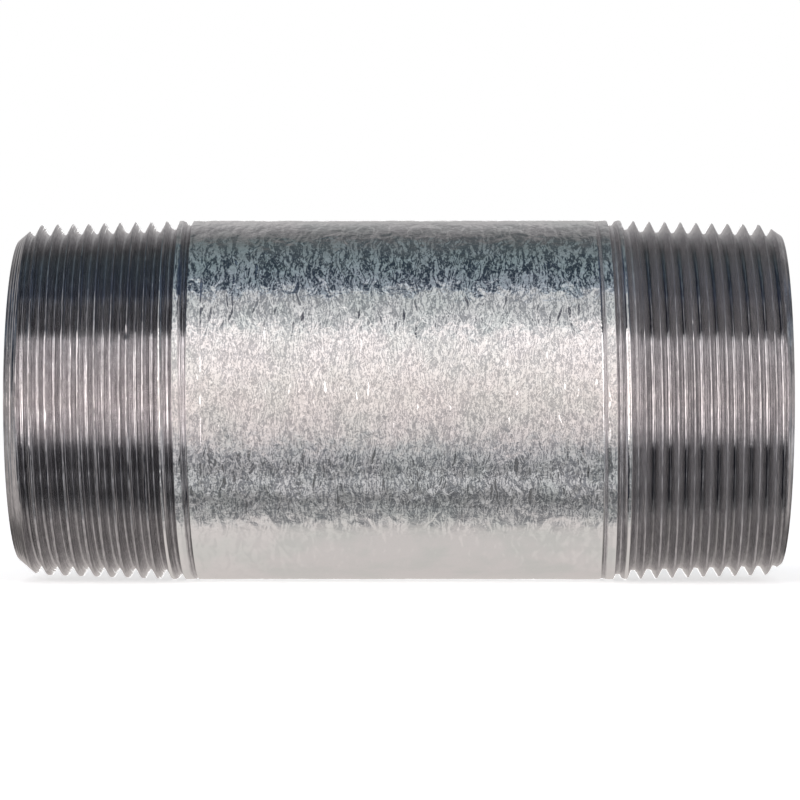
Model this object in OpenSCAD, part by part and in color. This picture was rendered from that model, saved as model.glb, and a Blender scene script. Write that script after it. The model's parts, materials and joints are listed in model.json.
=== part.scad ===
// Threaded pipe nipple: a short length of galvanised steel pipe with a
// right-hand tapered pipe thread on each end. The pipe's axis is X, and the
// origin is the middle of the nipple. Sizes are in millimetres.

/* [Pipe] */
// Outside diameter of the plain barrel, zinc included
pipe_d = 73.03; // [66:0.01:84]
// Overall length from end face to end face
nipple_len = 154.3; // [110:0.1:300]
// Wall thickness of the plain barrel, zinc included
wall_t = 5.16; // [4.8:0.02:7.6]
// Width of the bevel that reams each mouth of the bore
ream_w = 0.3; // [0.1:0.05:0.6]

/* [Zinc coat] */
// Thickness of the zinc on the outside of the barrel
outer_zinc_t = 0.1; // [0.05:0.01:0.3]
// Thickness of the zinc inside the bore
bore_zinc_t = 0.1; // [0.05:0.01:0.2]

/* [Thread] */
// Distance from one crest to the next
thread_pitch = 3.175; // [2.6:0.005:3.6]
// Length of thread cut to full depth, from the end face
full_thread_len = 29.6; // [20:0.1:34]
// Length over which the thread runs out to nothing on the barrel
run_out_len = 9.2; // [6:0.1:14]
// Growth of the thread's radius for each mm along the pipe
taper_rate = 0.03125; // [0.02:0.00125:0.04]
// How far the crests lie under the barrel's surface at the end face
crest_drop = 1.0; // [0.6:0.02:1.3]
// Distance from the end face to the first crest on top of the pipe
first_crest = 1.3; // [0:0.05:3]
// Angle of each thread flank from square to the axis
flank_angle = 30; // [27:0.5:31]
// Axial length of the lead chamfer up to the thread crests
chamfer_len = 2.6; // [1.5:0.1:4]
// Angle of the lead chamfer from the axis
chamfer_angle = 45; // [30:1:50]

/* [Detail] */
// Flats around each turn of thread
thread_facets = 48; // [36:4:60]

/* [Hidden] */

// Tapered pipe thread: depth of the V and its narrow root flat, each as a
// share of the pitch
depth_share = 0.737;
root_flat_share = 0.04;

// The cutter that opens a bore reaches this far past each end face
cut_past = 1;
// Rows of points closer to an end plane than this join that plane
snap = 0.06;
// Least depth that spaces the rows where a groove has run out
least_depth = 0.4;
// Facets of the round surfaces
round_facets = 96;
// The angle, about +X from +Y, that faces straight up
top_angle = 90;

cut_steel = [0.62, 0.60, 0.60];
pipe_steel = [0.45, 0.46, 0.48];
bright_zinc = [0.76, 0.76, 0.75];
bore_zinc = [0.64, 0.65, 0.65];

pipe_r = pipe_d / 2;
bore_r = pipe_r - wall_t;
steel_bore_r = bore_r + bore_zinc_t;
steel_barrel_r = pipe_r - outer_zinc_t;
thread_zone_len = full_thread_len + run_out_len;
barrel_len = nipple_len - 2 * thread_zone_len;
bore_coat_len = nipple_len - 2 * ream_w;

thread_depth = depth_share * thread_pitch;
root_flat = root_flat_share * thread_pitch;
end_crest_r = pipe_r - crest_drop;
end_root_r = end_crest_r - thread_depth;
full_root_r = end_root_r + taper_rate * full_thread_len;
run_out_rate = (pipe_r - full_root_r) / run_out_len;
chamfer_rate = tan(chamfer_angle);
face_r = end_crest_r - chamfer_rate * chamfer_len;

// Six rows of points follow each turn of the groove. Each has a side of the
// groove and a place on its flank: the crest, the break at the lead chamfer,
// or the root.
crest_edge = 2;
flank_break = 1;
root_edge = 0;
turn_rows = [[-1, crest_edge], [-1, flank_break], [-1, root_edge],
             [1, root_edge], [1, flank_break], [1, crest_edge]];
rows_per_turn = len(turn_rows);
turns = ceil(thread_zone_len / thread_pitch) + 3;
row_count = turns * rows_per_turn;

// Radius of the crests and of the groove's root, x mm from the end face
function crest_r(x) = min(pipe_r, end_crest_r + taper_rate * x);
function root_r(x) =
    x < full_thread_len ? end_root_r + taper_rate * x
    : min(pipe_r, full_root_r + run_out_rate * (x - full_thread_len));
function chamfer_r(x) = face_r + chamfer_rate * x;

// Middle of the groove at a turn and an angle about the axis
function groove_x(turn, angle) =
    first_crest + thread_pitch * (turn - 1.5 + (angle - top_angle) / 360);

// Axial run and radial rise of a flank, where the groove's middle is at x
function flank_rise(x) = max(least_depth, crest_r(x) - root_r(x));
function flank_run(x) = flank_rise(x) * tan(flank_angle);

// Where the lead chamfer crosses a flank, from 0 at the root to 1 at the crest
function chamfer_share(x, side) =
    let (root_x = x + side * root_flat / 2,
         gap = chamfer_r(root_x) - root_r(root_x),
         closing = flank_rise(x) - side * chamfer_rate * flank_run(x))
    min(0.85, max(0.15, gap / closing));

function flank_share(x, side, place) =
    place == root_edge ? 0 : place == crest_edge ? 1 : chamfer_share(x, side);

// Distance of a row of points from the end face, at an angle about the axis
function row_x(row, angle) =
    let (x = groove_x(floor(row / rows_per_turn), angle),
         side = turn_rows[row % rows_per_turn][0],
         place = turn_rows[row % rows_per_turn][1])
    x + side * (root_flat / 2 + flank_share(x, side, place) * flank_run(x));

// Radius of that row of points, under the chamfer and the barrel's surface
function row_r(row, angle) =
    let (x = groove_x(floor(row / rows_per_turn), angle),
         side = turn_rows[row % rows_per_turn][0],
         place = turn_rows[row % rows_per_turn][1],
         share = flank_share(x, side, place),
         here = row_x(row, angle),
         r = root_r(here) + share * (crest_r(here) - root_r(here)))
    min(r, chamfer_r(here));

// The rows of one column of points that lie between the two end planes
function rows_inside(angle) =
    [for (row = [0 : row_count - 1])
        if (row_x(row, angle) > snap && row_x(row, angle) < thread_zone_len - snap) row];

function ring_point(x, r, angle) = [x, r * cos(angle), r * sin(angle)];

function column_points(angle, first_row, last_row) =
    [for (row = [0 : row_count - 1])
        row < first_row ? ring_point(0, face_r, angle)
        : row > last_row ? ring_point(thread_zone_len, pipe_r, angle)
        : ring_point(row_x(row, angle), row_r(row, angle), angle)];

// Steel of one threaded end, without its bore: the end face at x = 0, the
// thread growing towards +X, and the run-out ending at the barrel
module thread_body() {
    angles = [for (i = [0 : thread_facets - 1]) 360 * i / thread_facets];
    inside = [for (angle = angles) rows_inside(angle)];
    first_rows = [for (rows = inside) rows[0]];
    last_rows = [for (rows = inside) rows[len(rows) - 1]];
    points = [for (i = [0 : thread_facets - 1])
        each column_points(angles[i], first_rows[i], last_rows[i])];

    // A full turn moves a column's points on by one turn of rows
    function point_at(column, row) =
        let (wraps = column == thread_facets,
             i = wraps ? 0 : column,
             shifted = wraps ? row + rows_per_turn : row,
             held = max(first_rows[i] - 1, min(last_rows[i] + 1, shifted)))
        i * row_count + held;

    sides = [for (i = [0 : thread_facets - 1], row = [0 : row_count - 2])
        let (a = point_at(i, row), b = point_at(i, row + 1),
             c = point_at(i + 1, row + 1), d = point_at(i + 1, row))
        each [if (a != b) [a, b, c], if (c != d) [a, c, d]]];
    near_end = [for (i = [0 : thread_facets - 1]) point_at(i, 0)];
    far_end = [for (i = [thread_facets - 1 : -1 : 0]) point_at(i, row_count - 1)];
    polyhedron(points, concat(sides, [near_end, far_end]));
}

// A round bar along +X from x = 0
module bar(len, r) {
    rotate([0, 90, 0]) cylinder(h = len, r = r, $fn = round_facets);
}

// A tube centred on the origin, along X
module tube(len, outer_r, inner_r) {
    translate([-len / 2, 0, 0]) difference() {
        bar(len, outer_r);
        translate([-cut_past, 0, 0]) bar(len + 2 * cut_past, inner_r);
    }
}

// The bevel at the mouth of the bore, wider than the bore at the end face
module ream() {
    mouth_r = steel_bore_r + ream_w;
    translate([-cut_past, 0, 0]) rotate([0, 90, 0])
        cylinder(h = cut_past + ream_w, r1 = mouth_r + cut_past, r2 = steel_bore_r,
                 $fn = round_facets);
}

// One threaded end with its bore, placed as the left end
module threaded_end() {
    translate([-nipple_len / 2, 0, 0]) difference() {
        thread_body();
        translate([-cut_past, 0, 0]) bar(thread_zone_len + 2 * cut_past, steel_bore_r);
        ream();
    }
}

module left_thread_end() {
    color(cut_steel) threaded_end();
}

// Turned end for end, a right-hand thread stays right-hand
module right_thread_end() {
    color(cut_steel) rotate([0, 0, 180]) threaded_end();
}

// Plain steel between the two threads
module pipe_barrel() {
    color(pipe_steel) tube(barrel_len, steel_barrel_r, steel_bore_r);
}

// Zinc on the outside of the plain barrel
module outer_zinc_coat() {
    color(bright_zinc) tube(barrel_len, pipe_r, steel_barrel_r);
}

// Zinc lining the bore from ream to ream
module bore_zinc_coat() {
    color(bore_zinc) tube(bore_coat_len, steel_bore_r, bore_r);
}

left_thread_end();
right_thread_end();
pipe_barrel();
outer_zinc_coat();
bore_zinc_coat();
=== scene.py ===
import bpy
import json
import math
import numpy as np
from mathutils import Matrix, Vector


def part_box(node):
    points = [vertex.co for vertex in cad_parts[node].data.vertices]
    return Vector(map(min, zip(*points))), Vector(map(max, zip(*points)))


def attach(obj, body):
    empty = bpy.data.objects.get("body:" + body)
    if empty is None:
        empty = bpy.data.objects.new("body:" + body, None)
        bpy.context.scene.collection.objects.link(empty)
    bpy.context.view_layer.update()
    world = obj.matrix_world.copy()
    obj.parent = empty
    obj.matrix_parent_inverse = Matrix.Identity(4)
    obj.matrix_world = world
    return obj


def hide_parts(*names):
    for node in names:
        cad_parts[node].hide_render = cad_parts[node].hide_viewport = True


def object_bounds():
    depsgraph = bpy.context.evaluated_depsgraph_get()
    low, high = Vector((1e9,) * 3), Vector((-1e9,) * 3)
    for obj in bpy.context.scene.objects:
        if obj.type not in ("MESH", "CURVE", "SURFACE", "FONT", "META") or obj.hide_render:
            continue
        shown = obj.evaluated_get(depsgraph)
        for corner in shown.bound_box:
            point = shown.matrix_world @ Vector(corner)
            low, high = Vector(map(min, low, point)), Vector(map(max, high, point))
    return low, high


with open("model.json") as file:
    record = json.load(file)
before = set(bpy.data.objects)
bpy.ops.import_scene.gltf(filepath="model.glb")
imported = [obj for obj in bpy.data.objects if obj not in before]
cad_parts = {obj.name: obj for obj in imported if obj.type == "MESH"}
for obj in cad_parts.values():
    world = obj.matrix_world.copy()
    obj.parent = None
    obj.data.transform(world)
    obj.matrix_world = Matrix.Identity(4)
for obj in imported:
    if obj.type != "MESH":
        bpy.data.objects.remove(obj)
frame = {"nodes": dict(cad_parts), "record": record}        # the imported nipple: axis along X, middle at the origin
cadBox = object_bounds()
mm = 0.001

# the places everything else is worked out from
leftLow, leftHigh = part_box("left_thread_end")
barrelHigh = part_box("outer_zinc_coat")[1]
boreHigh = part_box("bore_zinc_coat")[1]
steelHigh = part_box("pipe_barrel")[1]
endX = -leftLow.x                    # end faces stand at plus and minus this
threadZone = leftHigh.x - leftLow.x  # thread and run-out together
barrelX = barrelHigh.x               # plain barrel reaches this far each way
pipeR = barrelHigh.z                 # outside of the zinc
steelR = steelHigh.z                 # steel under the zinc
liningR = boreHigh.z                 # steel wall of the bore, under its zinc
mounts = {mount["name"]: mount for mount in frame["record"]["mounts"]}
boreR = mounts["through_bore"]["dims"]["r_mm"] * mm      # surface of the bore's zinc
print("frame loaded, nipple", round(2 * endX / mm, 1), "mm long")


def smoothStep(share):
    return share * share * (3 - 2 * share)


def ringNoise(angle, along, cellsRound, cellLength, seed):
    # value noise wrapped once round the pipe, from -1 to 1
    rows = 256
    grid = np.random.default_rng(seed).uniform(-1, 1, (cellsRound, rows))
    a = angle / (2 * math.pi) % 1.0 * cellsRound
    b = along / cellLength + rows / 2
    i = np.floor(a).astype(int)
    j = np.floor(b).astype(int)
    u = smoothStep(a - i)
    v = smoothStep(b - j)
    here, beside = i % cellsRound, (i + 1) % cellsRound
    row, nextRow = j % rows, (j + 1) % rows
    low = grid[here, row] * (1 - u) + grid[beside, row] * u
    high = grid[here, nextRow] * (1 - u) + grid[beside, nextRow] * u
    return low * (1 - v) + high * v


def meshFromArrays(name, points, faces):
    # keeps only the points that some face uses
    used = np.unique(np.concatenate([np.asarray(f) for f in faces]))
    place = np.full(len(points), -1)
    place[used] = np.arange(len(used))
    mesh = bpy.data.meshes.new(name)
    mesh.from_pydata(points[used].tolist(), [], [place[list(f)].tolist() for f in faces])
    mesh.update()
    piece = bpy.data.objects.new(name, mesh)
    bpy.context.scene.collection.objects.link(piece)
    return piece


def smoothShade(piece, sharpAngle):
    piece.data.shade_smooth()
    piece.data.set_sharp_from_angle(angle=math.radians(sharpAngle))


def ringFaces(ringA, ringB):
    # quads between two closed rings of point numbers
    nextA, nextB = np.roll(ringA, -1), np.roll(ringB, -1)
    return np.stack([ringA, ringB, nextB, nextA], 1).tolist()


def turnedTube(name, profile, columns, ripple):
    # a closed ring of metal: each profile point says whether the ripple moves it in or out
    angles = np.arange(columns) * 2 * math.pi / columns
    rings, points = [], []
    for number, (x, r, moves) in enumerate(profile):
        radius = np.full(columns, r)
        if moves:
            radius = radius + ripple(angles, np.full(columns, x))
        rings.append(np.arange(columns) + number * columns)
        ring = [np.full(columns, x), radius * np.cos(angles), radius * np.sin(angles)]
        points.append(np.stack(ring, 1))
    faces = []
    for number, ring in enumerate(rings):
        faces += ringFaces(ring, rings[(number + 1) % len(rings)])
    return meshFromArrays(name, np.concatenate(points), faces)


# the zinc's own surface, shared by the barrel and the last thread crests
zincSkin = {
    "seed": 11,
    "broad": 0.030 * mm, "broadCells": 26, "broadLength": 6.0 * mm,
    "lumps": 0.014 * mm, "lumpCells": 64, "lumpLength": 2.0 * mm,
    "pebbles": 0.005 * mm, "pebbleCells": 150, "pebbleLength": 1.0 * mm,
}


def zincRipple(angle, x):
    z = zincSkin
    return (z["broad"] * ringNoise(angle, x, z["broadCells"], z["broadLength"], z["seed"])
            + z["lumps"] * ringNoise(angle, x, z["lumpCells"], z["lumpLength"], z["seed"] + 1)
            + z["pebbles"] * ringNoise(angle, x, z["pebbleCells"], z["pebbleLength"], z["seed"] + 2))


# both threads: a right-hand helix on a taper, with a run-out on the barrel
thread = {
    "pitch": 3.175 * mm, "taper": 1 / 32, "depth": 2.03 * mm, "columns": 360, "sharpAngle": 42,
    "crestDrop": 1.0 * mm, "firstCrest": 1.3 * mm,         # at the end face, and on top of the pipe
    "fullLength": 29.6 * mm, "fadesBefore": 1.2 * mm,      # the run-out ends just short of the barrel
    "offCentre": 0.15 * mm, "reamWidth": 0.3 * mm, "crestSoft": 0.03 * mm, "chamferSoft": 0.02 * mm,
    # ragged crests, less so on the run-out
    "ragged": 0.05 * mm, "ragProud": 0.2, "ragTurns": 40, "ragCells": 3200,
    "fineRag": 0.6, "fineRagCells": 9100, "runOutRag": 0.25, "ragFade": 0.4 * mm,
    "nicks": 16, "nickDepth": 0.2 * mm, "nickWidth": 0.7 * mm, "nickStretch": 1.2,
    "nicksFrom": 3 * mm, "nicksUpTo": 4 * mm,              # from the end face, and from the barrel
    "zincReach": 0.08 * mm, "zincFade": 0.06 * mm, "snap": 0.05 * mm,
}


def crestRadius(x):
    return np.minimum(pipeR, pipeR - thread["crestDrop"] + thread["taper"] * x)


def rootRadius(x, angle):
    # the die runs slightly off centre, so the thread is deepest on top
    t = thread
    atFull = pipeR - t["crestDrop"] - t["depth"] + t["taper"] * t["fullLength"]
    runOutRate = (pipeR - atFull) / (threadZone - t["fadesBefore"] - t["fullLength"])
    cut = pipeR - t["crestDrop"] - t["depth"] + t["taper"] * x
    runOut = atFull + runOutRate * (x - t["fullLength"])
    level = np.where(x < t["fullLength"], cut, runOut)
    return np.minimum(pipeR, level - t["offCentre"] * np.sin(angle))


flankSlope = 1 / math.tan(math.radians(30))     # 60 degree V


def rootShape(flat, tilt, radius, flatShares):
    # bottom of the groove: two flats tilted towards a crease, then an arc up to each flank
    low, high = math.radians(tilt), math.radians(60)
    end = flat + radius * (math.sin(high) - math.sin(low))
    flatRise = flat * math.tan(low)
    arc = [flat + radius * (math.sin(low + (high - low) * part) - math.sin(low))
           for part in (0.25, 0.5, 0.75, 1.0)]
    return {"flat": flat, "tilt": low, "radius": radius, "end": end, "flatRise": flatRise,
            "endRise": flatRise + radius * (math.cos(low) - math.cos(high)),
            "shares": [flat * part / end for part in flatShares] + [place / end for place in arc]}


def grooveHalfWidth(root, depth):
    # half the groove's width at the crests
    h = np.maximum(depth, 0.01 * mm)      # never quite nothing
    radius, tilt = root["radius"], root["tilt"]
    deep = root["end"] + (h - root["endRise"]) / flankSlope
    drop = radius * math.cos(tilt) - np.clip(h - root["flatRise"], 0, root["endRise"])
    middling = root["flat"] - radius * math.sin(tilt) + np.sqrt(np.maximum(radius ** 2 - drop ** 2, 0))
    shallow = h / max(math.tan(tilt), 0.01)
    return np.where(h > root["endRise"], deep, np.where(h > root["flatRise"], middling, shallow))


def grooveRise(root, s):
    # height above the root at a distance s from the groove's middle
    radius, tilt = root["radius"], root["tilt"]
    onArc = np.clip(s, root["flat"], root["end"]) - root["flat"] + radius * math.sin(tilt)
    arc = radius * math.cos(tilt) - np.sqrt(np.maximum(radius ** 2 - onArc ** 2, 0))
    flank = np.maximum(s - root["end"], 0) * flankSlope
    return np.minimum(s, root["flat"]) * math.tan(tilt) + arc + flank


def softMin(a, b, soft):
    return 0.5 * (a + b - np.sqrt((a - b) ** 2 + soft ** 2))


# places up the flank, as shares of it
flankShares = [0.05, 0.25, 0.45, 0.53, 0.61, 0.80, 0.95, 1.0]
ridgeShare = 0.53        # a fine ridge left by a worn die runs here


def halfGroovePlaces(root, half):
    rootEnd = np.minimum(root["end"], 0.5 * half)
    low = [rootEnd * share for share in root["shares"]]
    flank = [rootEnd + share * (half - rootEnd) for share in flankShares]
    return low + flank


def helixRows(root):
    # one turn's rows in order: (side of the groove, place across it, share of the crest flat)
    count = len(root["shares"]) + len(flankShares)
    left = [(-1, place, 0.0) for place in range(count - 1, 0, -1)]
    right = [(1, place, 0.0) for place in range(count)]
    return left + right + [(1, count - 1, 0.33), (1, count - 1, 0.67)]


def threadPiece(name, turned, end):
    t = thread
    root, seed = end["root"], end["seed"]
    rows = helixRows(root)
    ridgeRow = len(root["shares"]) + flankShares.index(ridgeShare)
    turns = int(threadZone / t["pitch"]) + 4      # with some to spare past both ends
    columns = t["columns"]
    angle = np.arange(columns) * 2 * math.pi / columns
    turnNumber = np.repeat(np.arange(turns), len(rows))
    side, place, flat = (np.tile(np.array(part), turns) for part in zip(*rows))

    # along the helix, a crest stands at firstCrest on top of the pipe
    lead = (angle[:, None] - math.pi / 2) / (2 * math.pi)
    middle = t["firstCrest"] + t["pitch"] * (turnNumber[None, :] - 1.5 + lead)
    around = angle[:, None]
    depth = np.maximum(crestRadius(middle) - rootRadius(middle, around), 0)
    half = grooveHalfWidth(root, depth)
    choices = np.stack(halfGroovePlaces(root, half))
    s = np.take_along_axis(choices, np.broadcast_to(place, half.shape)[None], 0)[0]
    x = middle + side * (s + flat * (t["pitch"] - 2 * half))
    spot = np.where(flat > 0, half + 0.1 * mm, s)      # rows on the crest lie past the flank
    onRidge = (side < 0) & (place == ridgeRow)
    rise = grooveRise(root, spot) + np.where(onRidge, end["ridge"], 0) * depth / t["depth"]
    radius = softMin(rootRadius(x, around) + rise, crestRadius(x), t["crestSoft"])

    # rough crests and a few nicks, as the die leaves them
    rng = np.random.default_rng(seed)
    helix = turnNumber[None, :] + lead
    share = np.clip((radius - rootRadius(x, around)) / t["depth"], 0, 1)
    unrolled = helix * 2 * math.pi / t["ragTurns"]
    rag = ringNoise(unrolled, x * 0, t["ragCells"], 1.0, seed)
    rag = rag + t["fineRag"] * ringNoise(unrolled, x * 0, t["fineRagCells"], 1.0, seed + 1)
    onThread = np.clip((pipeR - crestRadius(x)) / t["ragFade"], 0, 1)
    raggedness = t["runOutRag"] + (1 - t["runOutRag"]) * onThread
    radius = radius - t["ragged"] * np.clip(rag, -t["ragProud"], 1) * share ** 3 * raggedness
    for _ in range(t["nicks"]):
        atAngle = rng.uniform(0, 2 * math.pi)
        atX = rng.uniform(t["nicksFrom"], threadZone - t["nicksUpTo"])
        away = np.abs((angle[:, None] - atAngle + math.pi) % (2 * math.pi) - math.pi) * pipeR
        along = (x - atX) / t["nickStretch"]
        dent = np.exp(-((away / t["nickWidth"]) ** 2) - (along / t["nickWidth"]) ** 2)
        radius = radius - t["nickDepth"] * dent * share ** 2

    # the chamfer, a little rounded where it meets the end face
    faceR = end["faceRadius"]
    radius = softMin(radius, faceR + end["chamferSlope"] * x, t["chamferSoft"])

    # the zinc left on the last crests carries on from the barrel
    globalX = (endX - x) if turned else (x - endX)
    globalAngle = (math.pi - angle[:, None] + 0 * x) if turned else (angle[:, None] + 0 * x)
    onZinc = np.clip((radius - (pipeR - t["zincReach"])) / t["zincFade"], 0, 1)
    radius = radius + onZinc * zincRipple(globalAngle, globalX)

    # rows past an end plane join that plane
    inside = (x > t["snap"]) & (x < threadZone - t["snap"])
    first = inside.argmax(1) - 1
    last = inside.shape[1] - inside[:, ::-1].argmax(1)
    count = x.shape[1]
    number = np.arange(count)[None, :]
    before, after = number <= first[:, None], number >= last[:, None]
    meetX = barrelX if turned else -barrelX
    endRipple = zincRipple(globalAngle[:, :1], 0 * globalAngle[:, :1] + meetX)
    x = np.where(before, 0, np.where(after, threadZone, x))
    radius = np.where(before, faceR, np.where(after, pipeR + endRipple, radius))
    held = np.clip(number, first[:, None], last[:, None]) + np.arange(columns)[:, None] * count
    wrapped = np.clip(np.arange(count) + len(rows), first[0], last[0])
    held = np.vstack([held, wrapped[None, :]])
    a, b = held[:-1, :-1].ravel(), held[:-1, 1:].ravel()
    c, d = held[1:, 1:].ravel(), held[1:, :-1].ravel()
    faces = np.stack([a, b, c, d], 1)[(a != b) & (c != d)].tolist()
    faces += np.stack([a, b, c], 1)[(a != b) & (c == d)].tolist()
    faces += np.stack([a, c, d], 1)[(a == b) & (c != d)].tolist()
    points = np.stack([x, radius * np.cos(around), radius * np.sin(around)], 2).reshape(-1, 3)

    # end face, ream and bore wall close the ring of steel
    own = np.arange(columns) * count
    outerRing, backRing = own + first, own + last
    boreWall = [(0.0, liningR + t["reamWidth"]), (t["reamWidth"], liningR),
                (threadZone / 2, liningR), (threadZone, liningR)]
    rings = [outerRing]
    for atX, r in boreWall:
        rings.append(np.arange(columns) + len(points))
        ring = np.stack([np.full(columns, atX), r * np.cos(angle), r * np.sin(angle)], 1)
        points = np.concatenate([points, ring])
    rings.append(backRing)
    for ringA, ringB in zip(rings[:-1], rings[1:]):
        faces += ringFaces(ringB, ringA)
    points[:, 0] -= endX
    if turned:          # end for end, so the thread stays right-hand
        points[:, :2] *= -1
    piece = meshFromArrays(name, points, faces)
    piece.data.flip_normals()
    smoothShade(piece, t["sharpAngle"])
    return piece


leftEnd = {
    "faceRadius": 32.6 * mm, "chamferSlope": 0.85, "ridge": 0.09 * mm, "seed": 21,
    "root": rootShape(flat=0.0, tilt=0, radius=0.44 * mm, flatShares=[0.0]),
}
rightEnd = {
    "faceRadius": 33.5 * mm, "chamferSlope": 0.7, "ridge": 0.0, "seed": 22,
    "root": rootShape(flat=0.28 * mm, tilt=12, radius=0.15 * mm, flatShares=[0.0, 0.08, 0.5, 1.0]),
}
leftThread = threadPiece("leftThread", False, leftEnd)
rightThread = threadPiece("rightThread", True, rightEnd)
print("threads cut:", len(leftThread.data.polygons), "faces each end")


# the zinc sleeve on the barrel
barrelSkin = {"rows": 124, "columns": 480, "sharpAngle": 50}


def barrelZinc():
    b = barrelSkin
    outside = [(x, pipeR, True) for x in np.linspace(-barrelX, barrelX, b["rows"])]
    inside = [(barrelX, steelR, False), (-barrelX, steelR, False)]
    piece = turnedTube("barrelZinc", outside + inside, b["columns"], zincRipple)
    piece.data.flip_normals()
    smoothShade(piece, b["sharpAngle"])
    return piece


# the zinc inside the pipe, which ran down the bore in long soft ridges
lining = {
    "rows": 90, "columns": 240, "sharpAngle": 50,
    "runs": 0.05 * mm, "runCells": 34, "runLength": 40 * mm, "seed": 31,
}


def boreRipple(angle, x):
    n = lining
    return n["runs"] * (1 + ringNoise(angle, x, n["runCells"], n["runLength"], n["seed"])) / 2


def boreLining():
    n = lining
    boreX = boreHigh.x
    inside = [(x, boreR, True) for x in np.linspace(-boreX, boreX, n["rows"])]
    outside = [(boreX, liningR, False), (-boreX, liningR, False)]
    piece = turnedTube("boreLining", inside + outside, n["columns"], boreRipple)
    smoothShade(piece, n["sharpAngle"])
    return piece


barrelPiece = barrelZinc()
liningPiece = boreLining()
print("zinc coats made")


def startMaterial(name):
    material = bpy.data.materials.new(name)
    material.use_nodes = True
    tree = material.node_tree
    return material, tree.nodes, tree.links, tree.nodes["Principled BSDF"]


def placeOnPipe(nodes, links):
    # the surface point's own X, Y and Z
    where = nodes.new("ShaderNodeTexCoord")
    split = nodes.new("ShaderNodeSeparateXYZ")
    links.new(where.outputs["Object"], split.inputs[0])
    return split.outputs


def stretchedCoordinates(nodes, links, roundward, along=1.0):
    # a pattern gets longer round the pipe, or along it, as its scale that way gets smaller
    where = nodes.new("ShaderNodeTexCoord")
    stretch = nodes.new("ShaderNodeMapping")
    stretch.inputs["Scale"].default_value = (along, roundward, roundward)
    links.new(where.outputs["Object"], stretch.inputs["Vector"])
    return stretch.outputs["Vector"]


def noiseNode(nodes, links, vector, scale, detail, roughness=0.5, distortion=0.0):
    noise = nodes.new("ShaderNodeTexNoise")
    noise.inputs["Scale"].default_value = scale
    noise.inputs["Detail"].default_value = detail
    noise.inputs["Roughness"].default_value = roughness
    noise.inputs["Distortion"].default_value = distortion
    links.new(vector, noise.inputs["Vector"])
    return noise.outputs["Fac"]


def rampNode(nodes, links, value, stops):
    ramp = nodes.new("ShaderNodeValToRGB")
    elements = ramp.color_ramp.elements
    while len(elements) < len(stops):
        elements.new(0.5)
    for element, (position, color) in zip(elements, stops):
        element.position = position
        element.color = (*color, 1)
    links.new(value, ramp.inputs["Fac"])
    return ramp.outputs["Color"]


def rangeNode(nodes, links, value, low, high, start=0.0, stop=1.0):
    spread = nodes.new("ShaderNodeMapRange")
    spread.inputs["From Min"].default_value = start
    spread.inputs["From Max"].default_value = stop
    spread.inputs["To Min"].default_value = low
    spread.inputs["To Max"].default_value = high
    links.new(value, spread.inputs["Value"])
    return spread.outputs["Result"]


def bumpNode(nodes, links, height, distance, under=None):
    bump = nodes.new("ShaderNodeBump")
    bump.inputs["Strength"].default_value = 1.0
    bump.inputs["Distance"].default_value = distance
    links.new(height, bump.inputs["Height"])
    if under is not None:
        links.new(under, bump.inputs["Normal"])
    return bump.outputs["Normal"]


def mathNode(nodes, links, operation, first, second):
    node = nodes.new("ShaderNodeMath")
    node.operation = operation
    for socket, value in zip(node.inputs, (first, second)):
        if isinstance(value, (int, float)):
            socket.default_value = value
        else:
            links.new(value, socket)
    return node.outputs[0]


def mixColors(nodes, links, factor, colorA, colorB, blend="MIX"):
    mix = nodes.new("ShaderNodeMix")
    mix.data_type = "RGBA"
    mix.blend_type = blend
    for socket, value in ((mix.inputs[0], factor), (mix.inputs[6], colorA), (mix.inputs[7], colorB)):
        if isinstance(value, (int, float)):
            socket.default_value = value
        elif isinstance(value, tuple):
            socket.default_value = (*value, 1)
        else:
            links.new(value, socket)
    return mix.outputs[2]


def mixNormals(nodes, links, factor, normalA, normalB):
    mix = nodes.new("ShaderNodeMix")
    mix.data_type = "VECTOR"
    links.new(factor, mix.inputs[0])
    links.new(normalA, mix.inputs[4])
    links.new(normalB, mix.inputs[5])
    return mix.outputs[1]


def axisDistance(nodes, links):
    # distance of the surface from the pipe's axis
    where = nodes.new("ShaderNodeTexCoord")
    flatten = nodes.new("ShaderNodeVectorMath")
    flatten.operation = "MULTIPLY"
    flatten.inputs[1].default_value = (0, 1, 1)
    length = nodes.new("ShaderNodeVectorMath")
    length.operation = "LENGTH"
    links.new(where.outputs["Object"], flatten.inputs[0])
    links.new(flatten.outputs["Vector"], length.inputs[0])
    return length.outputs["Value"]


# hot-dip zinc on the barrel, where a bump has a size and the slope it usually reaches
galvanised = {
    "patch": 8 * mm, "pale": (0.835, 0.825, 0.825), "cool": (0.77, 0.79, 0.78), "speckle": 0.86,
    "smoothest": 0.05, "roughest": 0.09, "swell": 6.0 * mm, "swellSlope": 0.02,
    "lump": 2.2 * mm, "lumpSlope": 0.065, "pebble": 0.7 * mm, "pebbleSlope": 0.028,
    "roundward": 0.5, "drainedFrom": -22 * mm, "drainedTo": -28 * mm, "drainedBump": 0.25,
}


def slopedBump(nodes, links, height, size, slope, under=None):
    # bump whose usual slope is the one asked for, on noise of the given size
    return bumpNode(nodes, links, height, 2 * slope * size, under)


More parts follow.
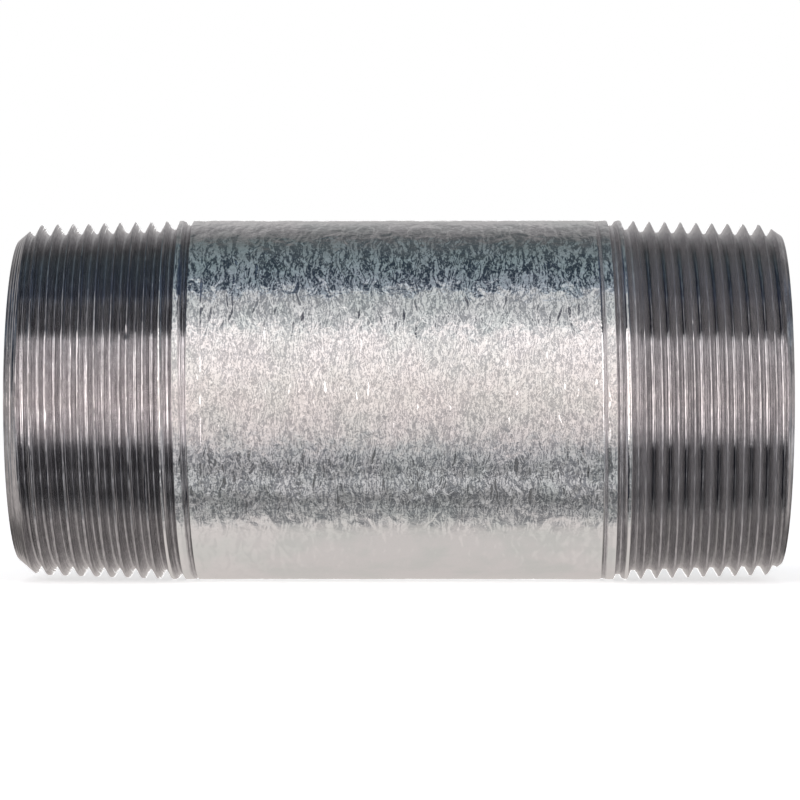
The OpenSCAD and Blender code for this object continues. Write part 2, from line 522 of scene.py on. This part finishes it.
def zincLook(nodes, links, look):
    # colour, roughness and normal of a hot-dip zinc surface, whose lumps are longest round the pipe
    even = stretchedCoordinates(nodes, links, 1.0)
    tall = stretchedCoordinates(nodes, links, look["roundward"])
    patches = noiseNode(nodes, links, even, 1 / look["patch"], 3)
    lumps = noiseNode(nodes, links, tall, 1 / look["lump"], 1, 0.5, 0.4)
    pebbles = noiseNode(nodes, links, even, 1 / look["pebble"], 1.5, 0.5, 0.5)
    color = rampNode(nodes, links, patches, [(0.36, look["cool"]), (0.58, look["pale"])])
    speckle = rampNode(nodes, links, pebbles, [(0.40, (look["speckle"],) * 3), (0.58, (1.0, 1.0, 1.0))])
    rough = rangeNode(nodes, links, pebbles, look["smoothest"], look["roughest"])
    plain = slopedBump(nodes, links, lumps, look["lump"], look["drainedBump"] * look["lumpSlope"])
    swells = noiseNode(nodes, links, tall, 1 / look["swell"], 0)
    normal = slopedBump(nodes, links, swells, look["swell"], look["swellSlope"])
    normal = slopedBump(nodes, links, lumps, look["lump"], look["lumpSlope"], normal)
    normal = slopedBump(nodes, links, pebbles, look["pebble"], look["pebbleSlope"], normal)

    # the molten zinc drained to the underside and set smooth there
    z = placeOnPipe(nodes, links)["Z"]
    drained = rangeNode(nodes, links, z, 0.0, 1.0, look["drainedFrom"], look["drainedTo"])
    speckled = mixColors(nodes, links, 1.0, color, speckle, "MULTIPLY")
    color = mixColors(nodes, links, drained, speckled, color)
    return color, rough, mixNormals(nodes, links, drained, normal, plain)


def galvanisedMaterial(name, look):
    material, nodes, links, shader = startMaterial(name)
    color, rough, normal = zincLook(nodes, links, look)
    links.new(color, shader.inputs["Base Color"])
    links.new(rough, shader.inputs["Roughness"])
    links.new(normal, shader.inputs["Normal"])
    shader.inputs["Metallic"].default_value = 1.0
    return material


# steel cut by a worn die on the left end and by a fresher one on the right
cutSteel = {
    "bright": (0.53, 0.52, 0.53), "dull": (0.41, 0.40, 0.41),
    "smoothest": 0.05, "roughest": 0.11, "anisotropic": 0.5,
    "toolMark": 0.45 * mm, "toolMarkSlope": 0.12, "flankMark": 0.45 * mm, "flankMarkSlope": 0.32,
    "scratch": 0.14 * mm, "scratchSlope": 0.05, "tear": 0.5 * mm, "tearSlope": 0.03,
    "markRoundward": 0.03, "tearRoundward": 0.25, "flankDrift": 0.06,
    "wornUpTo": -30 * mm, "freshFrom": 30 * mm, "freshShare": 0.35,      # marks are weaker on the right
    "wornFilm": 0.01, "freshFilm": 0.17,
    # painted shade: a near-black colour laid into the thread roots, weaker on the worn left end
    "rootShadeColor": (0.03, 0.03, 0.035), "rootShadeStrength": 0.38, "wornRootShade": 0.25,
    "rootShadeDepth": 0.06 * mm, "rootShadeFade": 0.22 * mm,
    "coatFrom": 0.10 * mm, "coatFull": 0.06 * mm,      # depth under the barrel's surface
}


def threadMaterial(name, look, zinc):
    material, nodes, links, shader = startMaterial(name)
    # tool marks run round the pipe, so their patterns are stretched that way
    along = stretchedCoordinates(nodes, links, look["markRoundward"])
    short = stretchedCoordinates(nodes, links, look["tearRoundward"])
    marks = noiseNode(nodes, links, along, 1 / look["toolMark"], 1)
    scratches = noiseNode(nodes, links, along, 1 / look["scratch"], 1)
    tears = noiseNode(nodes, links, short, 1 / look["tear"], 3, 0.6)
    steelColor = rampNode(nodes, links, tears, [(0.35, look["dull"]), (0.62, look["bright"])])
    steelRough = rangeNode(nodes, links, scratches, look["smoothest"], look["roughest"])

    place = placeOnPipe(nodes, links)
    fresh = rangeNode(nodes, links, place["X"], 0.0, 1.0, look["wornUpTo"], look["freshFrom"])

    # marks round the pipe, and lines along the flanks at the same depth on every turn
    reach = axisDistance(nodes, links)
    slowly = mathNode(nodes, links, "MULTIPLY", place["X"], look["flankDrift"])
    atDepth = nodes.new("ShaderNodeCombineXYZ")
    links.new(slowly, atDepth.inputs["X"])
    links.new(reach, atDepth.inputs["Y"])
    flankLines = noiseNode(nodes, links, atDepth.outputs["Vector"], 1 / look["flankMark"], 1)
    steelNormal = slopedBump(nodes, links, scratches, look["scratch"], look["scratchSlope"])
    steelNormal = slopedBump(nodes, links, tears, look["tear"], look["tearSlope"], steelNormal)
    markStrength = rangeNode(nodes, links, fresh, 1.0, look["freshShare"])
    for pattern, mark in ((marks, "toolMark"), (flankLines, "flankMark")):
        steelNormal = slopedBump(nodes, links, pattern, look[mark], look[mark + "Slope"], steelNormal)
        links.new(markStrength, steelNormal.node.inputs["Strength"])

    # a dull film greys the flanks, and painted shade darkens their roots, weaker on the worn left end
    lean = mathNode(nodes, links, "ABSOLUTE", place["X"], 0.0)
    lean = mathNode(nodes, links, "MULTIPLY", lean, thread["taper"])
    upward = mathNode(nodes, links, "DIVIDE", place["Z"], pipeR)
    upward = mathNode(nodes, links, "MULTIPLY", upward, thread["offCentre"])
    height = mathNode(nodes, links, "ADD", mathNode(nodes, links, "ADD", reach, lean), upward)
    rootLevel = pipeR - thread["crestDrop"] - thread["depth"] + thread["taper"] * endX
    rootShadeEnd = rootLevel + look["rootShadeFade"]
    # painted shade: a mask that darkens the colour near the bottom of every groove
    rootShadeMask = rangeNode(nodes, links, height, 1.0, 0.0, rootLevel + look["rootShadeDepth"], rootShadeEnd)
    rootShadeShare = rangeNode(nodes, links, fresh, look["wornRootShade"], 1.0)
    rootShadeMask = mathNode(nodes, links, "MULTIPLY", rootShadeMask, rootShadeShare)
    paintedRootShade = mathNode(nodes, links, "MULTIPLY", rootShadeMask, look["rootShadeStrength"])
    steelColor = mixColors(nodes, links, paintedRootShade, steelColor, look["rootShadeColor"])
    film = rangeNode(nodes, links, fresh, look["wornFilm"], look["freshFilm"])
    outOfRoot = mathNode(nodes, links, "SUBTRACT", 1.0, rootShadeMask)
    film = mathNode(nodes, links, "MULTIPLY", film, outOfRoot)

    # zinc stays only where the cutter never reached
    zincColor, zincRough, zincNormal = zincLook(nodes, links, zinc)
    coatStart = pipeR - look["coatFrom"]
    isZinc = rangeNode(nodes, links, reach, 0.0, 1.0, coatStart, pipeR - look["coatFull"])
    links.new(mixColors(nodes, links, isZinc, steelColor, zincColor), shader.inputs["Base Color"])
    roughMix = nodes.new("ShaderNodeMix")
    links.new(isZinc, roughMix.inputs[0])
    links.new(steelRough, roughMix.inputs[2])
    links.new(zincRough, roughMix.inputs[3])
    links.new(roughMix.outputs[0], shader.inputs["Roughness"])
    links.new(mixNormals(nodes, links, isZinc, steelNormal, zincNormal), shader.inputs["Normal"])
    film = mathNode(nodes, links, "SUBTRACT", film, isZinc)
    film = mathNode(nodes, links, "MAXIMUM", film, 0.0)
    links.new(mathNode(nodes, links, "SUBTRACT", 1.0, film), shader.inputs["Metallic"])
    shader.inputs["Anisotropic"].default_value = look["anisotropic"]
    shader.inputs["Anisotropic Rotation"].default_value = 0.25
    around = nodes.new("ShaderNodeTangent")
    around.direction_type = "RADIAL"
    around.axis = "X"
    links.new(around.outputs["Tangent"], shader.inputs["Tangent"])
    return material


# duller, rougher zinc inside the pipe
boreZinc = {
    "patch": 8 * mm, "pale": (0.66, 0.655, 0.65), "cool": (0.56, 0.57, 0.575), "speckle": 0.92,
    "smoothest": 0.34, "roughest": 0.55, "swell": 9.0 * mm, "swellSlope": 0.02,
    "lump": 4 * mm, "lumpSlope": 0.05, "pebble": 0.8 * mm, "pebbleSlope": 0.04,
    "roundward": 0.5, "drainedFrom": -22 * mm, "drainedTo": -28 * mm, "drainedBump": 0.25,
}

barrelMaterial = galvanisedMaterial("galvanisedZinc", galvanised)
liningMaterial = galvanisedMaterial("boreZinc", boreZinc)
cutMaterial = threadMaterial("cutThreadSteel", cutSteel, galvanised)


# the steel under the zinc, with its mill scale
rolledSteel = {
    "dark": (0.30, 0.30, 0.31), "light": (0.46, 0.46, 0.47), "smoothest": 0.35, "roughest": 0.6,
    "grain": 0.8 * mm, "bump": 0.02 * mm, "along": 0.1,
}


def rolledSteelMaterial(look):
    material, nodes, links, shader = startMaterial("rolledPipeSteel")
    along = stretchedCoordinates(nodes, links, 1.0, look["along"])
    scale = noiseNode(nodes, links, along, 1 / look["grain"], 4)
    color = rampNode(nodes, links, scale, [(0.3, look["dark"]), (0.7, look["light"])])
    rough = rangeNode(nodes, links, scale, look["smoothest"], look["roughest"])
    links.new(color, shader.inputs["Base Color"])
    links.new(rough, shader.inputs["Roughness"])
    links.new(bumpNode(nodes, links, scale, look["bump"]), shader.inputs["Normal"])
    shader.inputs["Metallic"].default_value = 1.0
    return material


for piece, material, slot, node in ((leftThread, cutMaterial, "cut_thread", "left_thread_end"),
                                    (rightThread, cutMaterial, "cut_thread", "right_thread_end"),
                                    (barrelPiece, barrelMaterial, "outer_zinc", "outer_zinc_coat"),
                                    (liningPiece, liningMaterial, "bore_zinc", "bore_zinc_coat")):
    piece.data.materials.append(material)
    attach(piece, "root")
    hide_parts(node)

pipeSteel = frame["nodes"]["pipe_barrel"]
pipeSteel.data.materials.clear()
pipeSteel.data.materials.append(rolledSteelMaterial(rolledSteel))
print("materials set")


# floor, light and camera
studio = {
    "floorSize": 8.0, "floorColor": (0.93, 0.93, 0.93), "floorRoughness": 0.9,
    "floorDrop": 0.1 * mm, "floorGlow": 0.62,
    "lampPower": 3.0, "lampSize": 0.9, "lampPlace": (-0.15, -0.55, 1.1),
    "brightest": 3.3, "strongestTint": 1.15,
    # where each band begins, by how far a direction leans along the pipe
    "nearbyFrom": (0.16, 0.28), "sidesFrom": (0.30, 0.42), "endsFrom": (0.60, 0.80),
    "behindFrom": (0.990, 0.994),      # and the white behind, by how far it leans away from the camera
    "clutterPeriod": 0.2, "clutterWarp": 1.5, "clutterGrain": 3.0, "clutterEdges": (0.3, 0.7),
    "clutterDark": (0.02, 0.04, 0.08), "clutterMean": 0.5,
    "cameraDistance": 0.757, "cameraTurn": 0.6, "viewWidth": 162.966 * mm,
}

# brightness of the studio by its angle round the pipe: 0 is towards the camera, 90 overhead
# the gap between the two softboxes, where the camera stands
middle = [
    (-180, 0.57), (-115, 0.67), (-92, 0.68), (-84, 0.58), (-78, 0.34), (-73, 0.40), (-67, 0.20),
    (-61, 0.31), (-51, 0.56), (-46, 0.24), (-38, 0.42), (-22, 0.65), (-6, 0.78),
    (20, 0.92), (41, 0.98), (48, 0.83), (53, 0.67), (62, 0.58), (74, 0.52), (77, 0.23), (95, 0.19),
    (125, 0.16), (155, 0.52),
]
# the softboxes on the left and on the right, dark above and below them
sides = [
    (-180, 0.50), (-150, 0.16), (-120, 0.22), (-86, 0.38), (-76, (0.03, 0.03, 0.04)),
    (-35, (0.01, 0.01, 0.02)), (-22, 2.40), (-12, 3.30), (4, 3.20), (14, 2.60), (44, 2.35),
    (50, (0.015, 0.015, 0.025)), (68, (0.02, 0.022, 0.035)), (78, (0.06, 0.065, 0.09)),
    (108, (0.06, 0.07, 0.10)), (128, 0.10), (146, 0.30), (180, 0.50),
]
# just beside the gap: bright only where both neighbours are
nearby = [
    (-180, 0.52), (-120, 0.34), (-88, 0.50), (-77, 0.14), (-35, 0.12), (-24, 0.55),
    (-6, 0.80), (20, 0.92), (42, 0.98), (51, (0.10, 0.10, 0.12)), (108, (0.07, 0.08, 0.10)),
    (128, 0.12), (155, 0.40),
]
# beyond them, towards the pipe's ends
ends = [
    (-180, 0.55), (-130, 0.65), (-115, 0.70), (-104, 0.45), (-92, 0.45), (-72, 0.55), (-56, 0.60),
    (-40, 0.60), (0, 0.65), (34, 0.55), (50, 0.32), (68, 0.22), (87, 0.26), (97, (0.08, 0.085, 0.11)),
    (125, (0.08, 0.085, 0.11)), (140, 0.45), (180, 0.60),
]
# tint by the same angle: warm light, cooler and greener in the dark parts
tints = [
    (-180, (1.06, 0.985, 0.95)), (-88, (1.04, 0.99, 0.96)), (-74, (1.0, 1.0, 1.0)),
    (-36, (1.0, 0.99, 1.01)), (-22, (1.06, 0.98, 0.96)), (0, (1.08, 0.98, 0.94)),
    (42, (1.04, 0.985, 0.97)), (50, (1.0, 1.0, 1.0)), (70, (0.98, 1.0, 1.01)), (78, (0.87, 0.99, 1.14)),
    (95, (0.84, 1.03, 1.12)), (115, (0.87, 1.03, 1.09)), (130, (1.0, 0.99, 1.01)),
    (180, (1.03, 0.99, 0.98)),
]
# how uneven the studio is by the same angle: busy overhead, plain below
clutter = [
    (-180, 0.0), (-92, 0.06), (-80, 0.4), (-42, 0.5), (-30, 0.35), (0, 0.3), (45, 0.35), (52, 0.4),
    (73, 0.45), (77, 0.85), (94, 0.85), (110, 0.55), (130, 0.15), (180, 0.0),
]


def makeWorld():
    world = bpy.data.worlds.new("softStudio")
    bpy.context.scene.world = world
    world.use_nodes = True
    nodes, links = world.node_tree.nodes, world.node_tree.links
    where = nodes.new("ShaderNodeTexCoord")
    direction = where.outputs["Generated"]
    split = nodes.new("ShaderNodeSeparateXYZ")
    links.new(direction, split.inputs[0])
    towards = mathNode(nodes, links, "MULTIPLY", split.outputs["Y"], -1)
    turn = mathNode(nodes, links, "ARCTAN2", split.outputs["Z"], towards)
    share = rangeNode(nodes, links, turn, 0.0, 1.0, -math.pi, math.pi)

    def around(stops, scale):
        grays = [(angle, value if isinstance(value, tuple) else (value,) * 3) for angle, value in stops]
        colors = [((angle + 180) / 360, tuple(part / scale for part in color)) for angle, color in grays]
        return rampNode(nodes, links, share, colors)

    sideways = mathNode(nodes, links, "ABSOLUTE", split.outputs["X"], 0.0)
    brightest = studio["brightest"]
    room = around(middle, brightest)
    for stops, band in ((nearby, "nearbyFrom"), (sides, "sidesFrom"), (ends, "endsFrom")):
        reach = rangeNode(nodes, links, sideways, 0.0, 1.0, *studio[band])
        reach.node.interpolation_type = "SMOOTHSTEP"
        room = mixColors(nodes, links, reach, room, around(stops, brightest))
    room = mixColors(nodes, links, 1.0, room, around(tints, studio["strongestTint"]), "MULTIPLY")

    # light and dark things standing side by side round the studio
    things = nodes.new("ShaderNodeTexWave")
    things.inputs["Scale"].default_value = math.pi / 10 / studio["clutterPeriod"]
    things.inputs["Distortion"].default_value = studio["clutterWarp"]
    things.inputs["Detail Scale"].default_value = studio["clutterGrain"]
    links.new(direction, things.inputs["Vector"])
    uneven = rangeNode(nodes, links, things.outputs["Fac"], 0.0, 1.0, *studio["clutterEdges"])
    patchy = mixColors(nodes, links, uneven, studio["clutterDark"], (1.0, 1.0, 1.0))
    even = (studio["clutterMean"],) * 3
    patchy = mixColors(nodes, links, around(clutter, 1.0), even, patchy)
    room = mixColors(nodes, links, 1.0, room, patchy, "MULTIPLY")

    # plain white for the camera, and for what the metal mirrors from straight behind the nipple
    path = nodes.new("ShaderNodeLightPath").outputs
    mirrored = mathNode(nodes, links, "MAXIMUM", path["Is Glossy Ray"], path["Is Transmission Ray"])
    behind = rangeNode(nodes, links, split.outputs["Y"], 0.0, 1.0, *studio["behindFrom"])
    white = mathNode(nodes, links, "MULTIPLY", mirrored, behind)
    white = mathNode(nodes, links, "MAXIMUM", path["Is Camera Ray"], white)
    strength = brightest * studio["strongestTint"] / studio["clutterMean"]
    background = nodes["Background"]
    links.new(mixColors(nodes, links, white, room, (1.0, 1.0, 1.0)), background.inputs["Color"])
    links.new(rangeNode(nodes, links, white, strength, 1.0), background.inputs["Strength"])


def makeFloor():
    size = studio["floorSize"] / 2
    z = cadBox[0].z - studio["floorDrop"]
    mesh = bpy.data.meshes.new("studioFloor")
    corners = [(-size, -size, z), (size, -size, z), (size, size, z), (-size, size, z)]
    mesh.from_pydata(corners, [], [(0, 1, 2, 3)])
    floor = bpy.data.objects.new("studioFloor", mesh)
    bpy.context.scene.collection.objects.link(floor)
    material, nodes, links, shader = startMaterial("paleFloor")
    shader.inputs["Base Color"].default_value = (*studio["floorColor"], 1)
    shader.inputs["Roughness"].default_value = studio["floorRoughness"]
    shader.inputs["Emission Color"].default_value = (1, 1, 1, 1)
    seen = nodes.new("ShaderNodeLightPath").outputs["Is Camera Ray"]
    links.new(rangeNode(nodes, links, seen, 0.0, studio["floorGlow"]), shader.inputs["Emission Strength"])
    mesh.materials.append(material)
    floor.visible_glossy = False       # the metal mirrors the studio's own lower half instead


def makeLamp():
    light = bpy.data.lights.new("softbox", "AREA")
    light.shape = "DISK"
    light.size = studio["lampSize"]
    light.energy = studio["lampPower"]
    lamp = bpy.data.objects.new("softbox", light)
    bpy.context.scene.collection.objects.link(lamp)
    lamp.location = studio["lampPlace"]
    lamp.rotation_euler = (-lamp.location).to_track_quat("-Z", "Y").to_euler()
    lamp.visible_glossy = False


def makeCamera():
    camera = bpy.data.objects.new("camera", bpy.data.cameras.new("camera"))
    bpy.context.scene.collection.objects.link(camera)
    far = studio["cameraDistance"]
    turn = math.radians(studio["cameraTurn"])
    camera.location = (far * math.sin(turn), -far * math.cos(turn), 0)
    camera.rotation_euler = (math.radians(90), 0, turn)
    camera.data.sensor_width = 36
    camera.data.lens = camera.data.sensor_width * far / studio["viewWidth"]
    camera.data.clip_start = 0.01
    camera.data.clip_end = 50
    bpy.context.scene.camera = camera


makeWorld()
makeFloor()
makeLamp()
makeCamera()
bpy.context.scene.view_settings.view_transform = "Standard"
print("studio ready")
